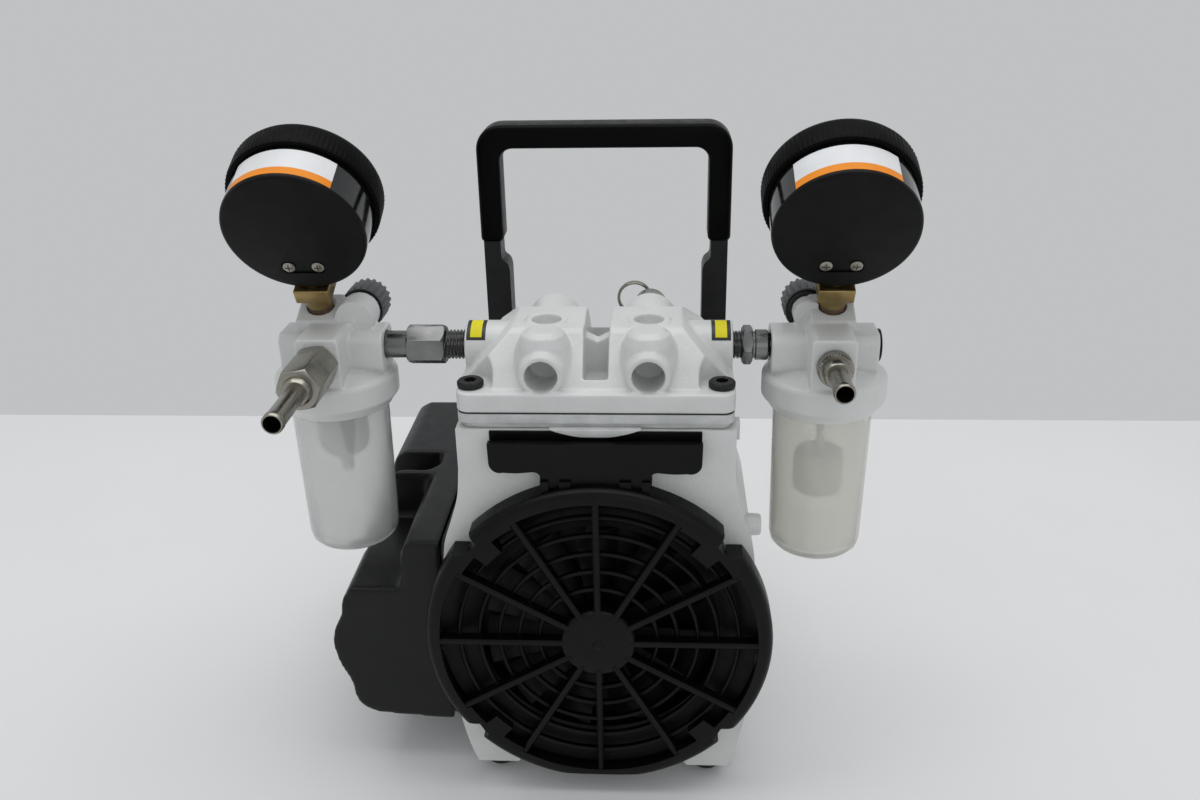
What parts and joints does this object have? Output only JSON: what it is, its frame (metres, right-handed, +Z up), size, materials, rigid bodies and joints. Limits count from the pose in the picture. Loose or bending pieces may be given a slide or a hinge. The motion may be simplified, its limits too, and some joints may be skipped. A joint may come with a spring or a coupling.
{
  "type": "piston vacuum pump",
  "caption": "Bench-top oil-free piston vacuum and pressure pump with guarded fan, carrying handle, side box, and a regulator, clear bowl and dial gauge each side.",
  "frame": {"origin": "centre of the footprint of the whole pump's bounding box, on the floor plane under the rubber feet", "axes": "+Z is up; +Y runs from the front fan guard to the rear operator side; +X is to the right seen from the front"},
  "size_m": [0.3024, 0.2254, 0.3162],
  "materials": {
    "white_enamel": "satin white enamel",
    "rubber": "black rubber",
    "black_plastic": "satin black moulding",
    "steel": "ground steel",
    "aluminium": "cast and turned aluminium",
    "sinter": "porous off-white plastic",
    "bearing_steel": "polished bearing steel",
    "laminate": "stacked electrical steel",
    "black_steel": "black oxide and powder coat",
    "nickel": "dull nickel plate",
    "frosted": "frosted translucent plastic",
    "grey_plastic": "grey moulded plastic with coarse knurl",
    "zinc": "zinc plated steel",
    "gloss_black": "glossy black moulding",
    "clear_lens": "clear moulded window",
    "brass": "aged brass",
    "pointer_black": "black paint"
  },
  "bodies": {
    "pump_body": {"crankcase_housing": "white_enamel", "foot_front_left": "rubber", "foot_front_right": "rubber", "foot_rear_left": "rubber", "foot_rear_right": "rubber", "fan_guard": "black_plastic", "front_bearing": "bearing_steel", "motor_shell": "white_enamel", "motor_stator": "laminate", "rear_end_bell": "white_enamel", "rear_bearing": "bearing_steel", "rear_fan_cover": "black_plastic", "cylinder_sleeve": "aluminium", "valve_plate": "aluminium", "head_gasket": "rubber", "cylinder_head": "white_enamel", "head_screw_1": "black_steel", "head_screw_2": "black_steel", "head_screw_3": "black_steel", "head_screw_4": "black_steel", "relief_valve_body": "nickel", "handle_bracket": "black_steel", "handle_grip": "black_plastic", "side_box_cover": "black_plastic", "side_box_plate": "black_steel", "power_inlet": "black_plastic", "regulator_body_right": "white_enamel", "filter_bowl_right": "frosted", "filter_element_right": "sinter", "hose_barb_right": "nickel", "port_plug_right": "black_plastic", "pipe_nipple_right": "zinc", "gauge_case_right": "gloss_black", "gauge_bezel_right": "black_plastic", "gauge_lens_right": "clear_lens", "gauge_stem_right": "brass", "regulator_body_left": "white_enamel", "filter_bowl_left": "frosted", "filter_element_left": "sinter", "hose_barb_left": "nickel", "pipe_coupling_left": "zinc", "gauge_case_left": "gloss_black", "gauge_bezel_left": "black_plastic", "gauge_lens_left": "clear_lens", "gauge_stem_left": "brass"},
    "crank": {"crankshaft_rotor": "steel", "eccentric_counterweight": "steel", "cooling_fan_front": "black_plastic", "cooling_fan_rear": "black_plastic"},
    "rod": {"connecting_rod": "aluminium", "piston_cup": "sinter"},
    "intake_reed": {"intake_reed": "steel"},
    "exhaust_reed": {"exhaust_reed": "steel"},
    "relief_stem": {"relief_stem": "steel"},
    "relief_pull_ring": {"relief_pull_ring": "nickel"},
    "rocker_switch": {"rocker_switch": "black_plastic"},
    "knob_right": {"needle_valve_knob_right": "grey_plastic"},
    "knob_left": {"needle_valve_knob_left": "grey_plastic"},
    "pointer_right": {"gauge_pointer_right": "pointer_black"},
    "pointer_left": {"gauge_pointer_left": "pointer_black"}
  },
  "joints": [
    {"name": "crank_spin", "type": "hinge", "parent": "pump_body", "child": "crank", "pos_m": [0.01185, -0.0243, 0.088], "axis": [0, 1, 0], "continuous": true},
    {"name": "rod_on_crank", "type": "hinge", "parent": "crank", "child": "rod", "pos_m": [0.01185, -0.0243, 0.092], "axis": [0, 1, 0], "continuous": true},
    {"name": "intake_reed_flex", "type": "hinge", "parent": "pump_body", "child": "intake_reed", "pos_m": [-0.00515, -0.0393, 0.1911], "axis": [-1, 0, 0], "range_deg": [0, 6], "stiffness_Nm_per_rad": 0.01},
    {"name": "exhaust_reed_flex", "type": "hinge", "parent": "pump_body", "child": "exhaust_reed", "pos_m": [0.02885, -0.0453, 0.1982], "axis": [1, 0, 0], "range_deg": [0, 6], "stiffness_Nm_per_rad": 0.01},
    {"name": "relief_stem_lift", "type": "slide", "parent": "pump_body", "child": "relief_stem", "axis": [0, 1, 0], "range_m": [0, 0.0025], "stiffness_N_per_m": 1500},
    {"name": "pull_ring_swing", "type": "hinge", "parent": "relief_stem", "child": "relief_pull_ring", "pos_m": [0.03485, 0.0427, 0.2146], "axis": [0, 0, -1], "range_deg": [0, 80]},
    {"name": "rocker_tilt", "type": "hinge", "parent": "pump_body", "child": "rocker_switch", "pos_m": [-0.08215, 0.1017, 0.104], "axis": [-1, 0, 0], "range_deg": [0, 16]},
    {"name": "knob_right_turn", "type": "hinge", "parent": "pump_body", "child": "knob_right", "pos_m": [0.10685, -0.0033, 0.227], "axis": [0, 1, 0], "range_deg": [0, 1080]},
    {"name": "knob_left_turn", "type": "hinge", "parent": "pump_body", "child": "knob_left", "pos_m": [-0.10015, -0.0033, 0.227], "axis": [0, 1, 0], "range_deg": [0, 1080]},
    {"name": "pointer_right_turn", "type": "hinge", "parent": "pump_body", "child": "pointer_right", "pos_m": [0.11715, -0.03868, 0.27395], "axis": [0, -0.9011, -0.4337], "range_deg": [0, 270], "stiffness_Nm_per_rad": 0.0005},
    {"name": "pointer_left_turn", "type": "hinge", "parent": "pump_body", "child": "pointer_left", "pos_m": [-0.11715, -0.03868, 0.27395], "axis": [0, 0.9011, 0.4337], "range_deg": [0, 270], "stiffness_Nm_per_rad": 0.0005}
  ],
  "couplings": [
    {"joint": "rod_on_crank", "follows": "crank_spin", "ratio": -1}
  ]
}
